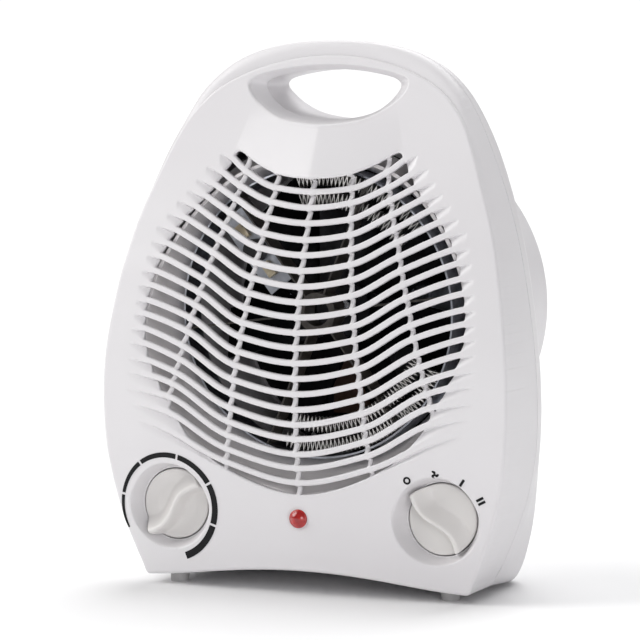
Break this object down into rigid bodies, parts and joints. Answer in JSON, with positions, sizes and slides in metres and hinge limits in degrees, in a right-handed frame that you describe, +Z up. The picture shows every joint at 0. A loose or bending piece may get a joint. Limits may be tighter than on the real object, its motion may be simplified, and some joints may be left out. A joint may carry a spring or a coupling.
{
  "type": "fan convector heater",
  "caption": "Upright fan convector heater with a curved barred outlet grille, carry handle opening, thermostat knob, switch knob and indicator lamp.",
  "frame": {"origin": "centre of the bounding box's bottom, on the floor under the middle of the heater", "axes": "+Z up, +X to the right seen from the front, front grille faces -Y"},
  "size_m": [0.198, 0.1138, 0.245],
  "materials": {
    "white_shell": "satin",
    "knob_white": "satin",
    "foot_rubber": "matte",
    "duct_plastic": "matte",
    "zinc_steel": "satin",
    "mica": "matte",
    "resistance_alloy": "satin",
    "dark_resin": "matte",
    "brass": "satin",
    "fuse_case": "satin",
    "blade_aluminium": "satin",
    "lamination": "matte",
    "winding": "satin",
    "bobbin_resin": "matte",
    "bright_steel": "polished",
    "bearing_bronze": "satin",
    "red_lens": "gloss"
  },
  "bodies": {
    "housing": {"bimetal_strip": "brass", "casing_screws": "zinc_steel", "clamp_screws": "zinc_steel", "coil_bobbin": "bobbin_resin", "cord_clamp": "bobbin_resin", "cutout_bracket": "zinc_steel", "cutout_terminals": "brass", "duct_screws": "zinc_steel", "front_casing": "white_shell", "front_feet": "foot_rubber", "fuse_saddle": "mica", "heater_frame": "zinc_steel", "lamp_body": "bobbin_resin", "lamp_leads": "brass", "lamp_lens": "red_lens", "lower_element": "resistance_alloy", "mica_former": "mica", "motor_bearings": "bearing_bronze", "motor_coil": "winding", "motor_front_bracket": "zinc_steel", "motor_mount_screws": "zinc_steel", "motor_rear_bracket": "zinc_steel", "motor_stator": "lamination", "motor_through_bolts": "zinc_steel", "outlet_duct": "duct_plastic", "rear_casing": "white_shell", "rear_feet": "foot_rubber", "switch_body": "dark_resin", "switch_screws": "zinc_steel", "switch_terminals": "brass", "terminal_block": "bobbin_resin", "terminal_screws": "zinc_steel", "thermal_cutout": "dark_resin", "thermal_fuse": "fuse_case", "thermostat_body": "dark_resin", "thermostat_screws": "zinc_steel", "thermostat_terminals": "brass", "upper_element": "resistance_alloy"},
    "thermostat_dial": {"thermostat_knob": "knob_white", "thermostat_spindle": "bright_steel"},
    "switch_dial": {"switch_knob": "knob_white", "switch_spindle": "bright_steel"},
    "fan_rotor": {"fan_impeller": "blade_aluminium", "fan_clip": "zinc_steel", "motor_shaft": "bright_steel", "motor_rotor": "lamination"}
  },
  "joints": [
    {"name": "thermostat_turn", "type": "hinge", "parent": "housing", "child": "thermostat_dial", "pos_m": [-0.0646, -0.03905, 0.0363], "axis": [0, 1, 0], "range_deg": [0, 280]},
    {"name": "switch_turn", "type": "hinge", "parent": "housing", "child": "switch_dial", "pos_m": [0.0646, -0.03905, 0.0363], "axis": [0, 1, 0], "range_deg": [0, 100.5]},
    {"name": "fan_spin", "type": "hinge", "parent": "housing", "child": "fan_rotor", "pos_m": [0, 0.00495, 0.124], "axis": [0, 1, 0], "continuous": true}
  ]
}
